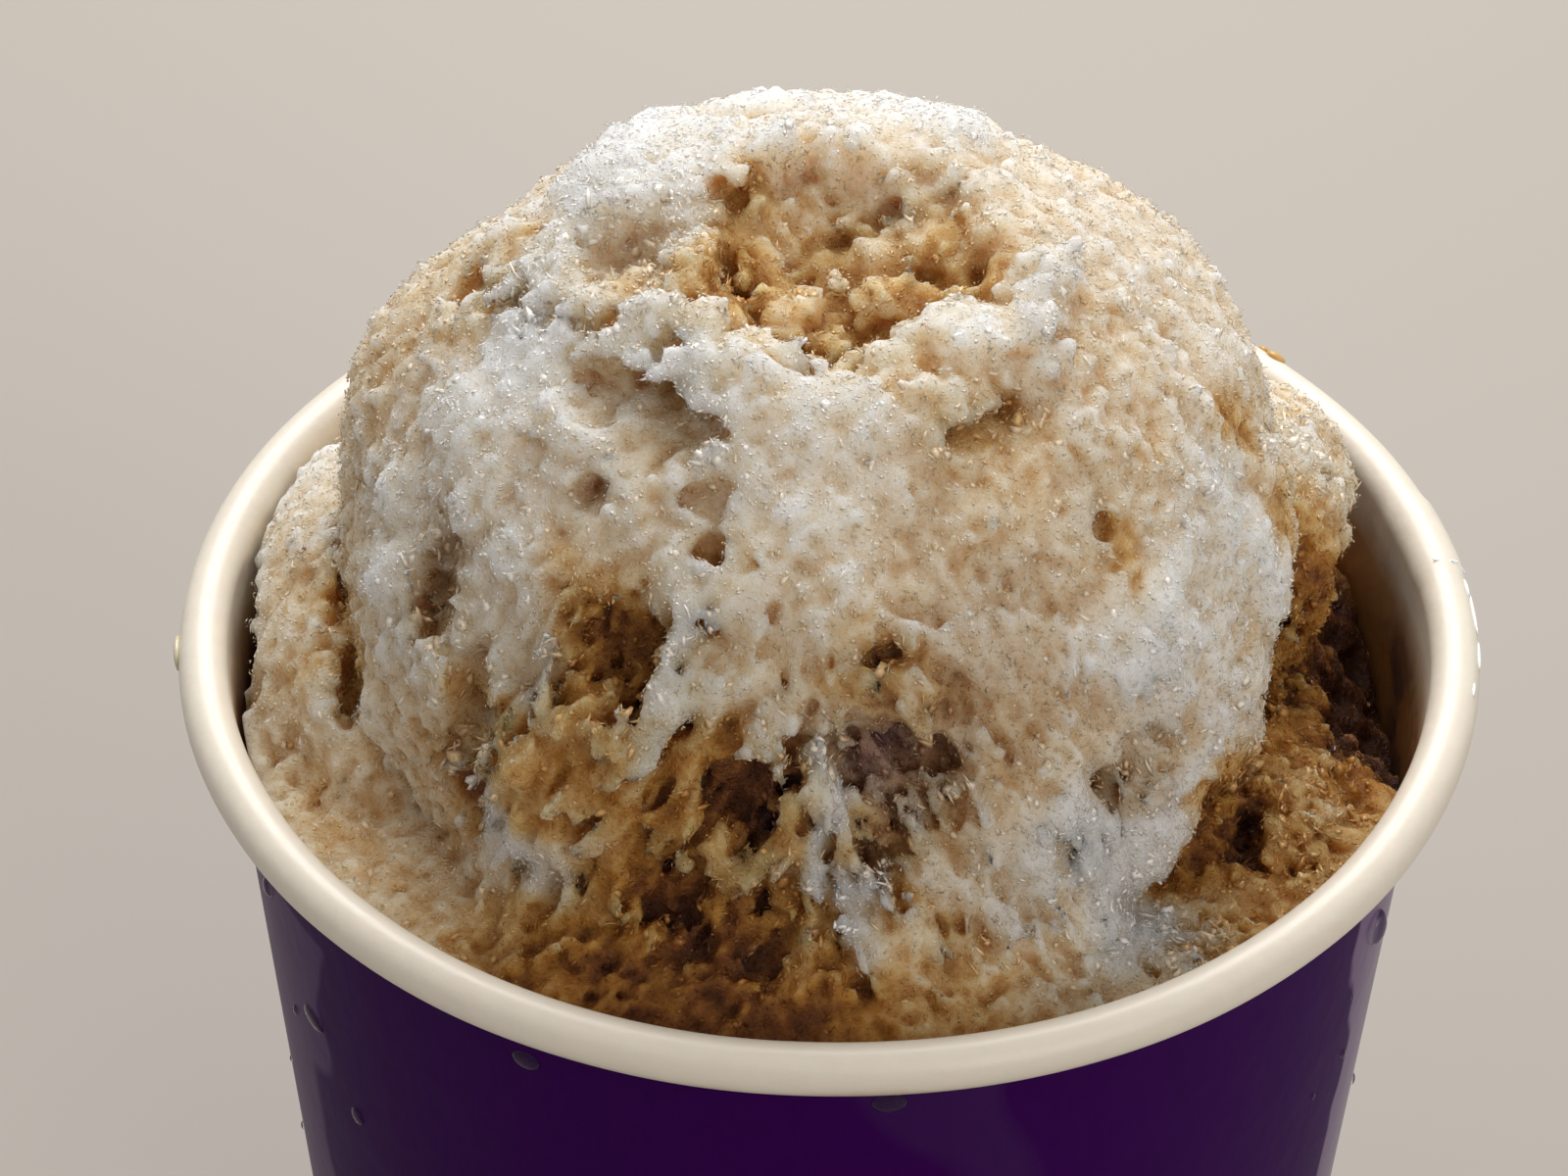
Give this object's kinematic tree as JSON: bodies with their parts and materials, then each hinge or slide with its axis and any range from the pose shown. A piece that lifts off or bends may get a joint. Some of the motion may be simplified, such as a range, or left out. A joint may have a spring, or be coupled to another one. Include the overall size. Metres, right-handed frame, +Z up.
{
  "type": "shaved ice dessert",
  "caption": "Tall ball of fluffy shaved ice, stained with brown syrup in its hollows and around its foot, heaped above the rolled rim of a coated paper cup.",
  "frame": {"origin": "middle of the ring that the cup stands on, at the height of the table", "axes": "+Z up along the cup's axis; -Y is the side that faced the camera, +X its right"},
  "size_m": [0.098, 0.098, 0.1305],
  "materials": {
    "purple_paper": "gloss",
    "cream_paper": "satin",
    "ice": "satin"
  },
  "bodies": {
    "root": {"cup_wall": "purple_paper", "cup_base": "cream_paper", "shaved_ice": "ice"}
  },
  "joints": []
}
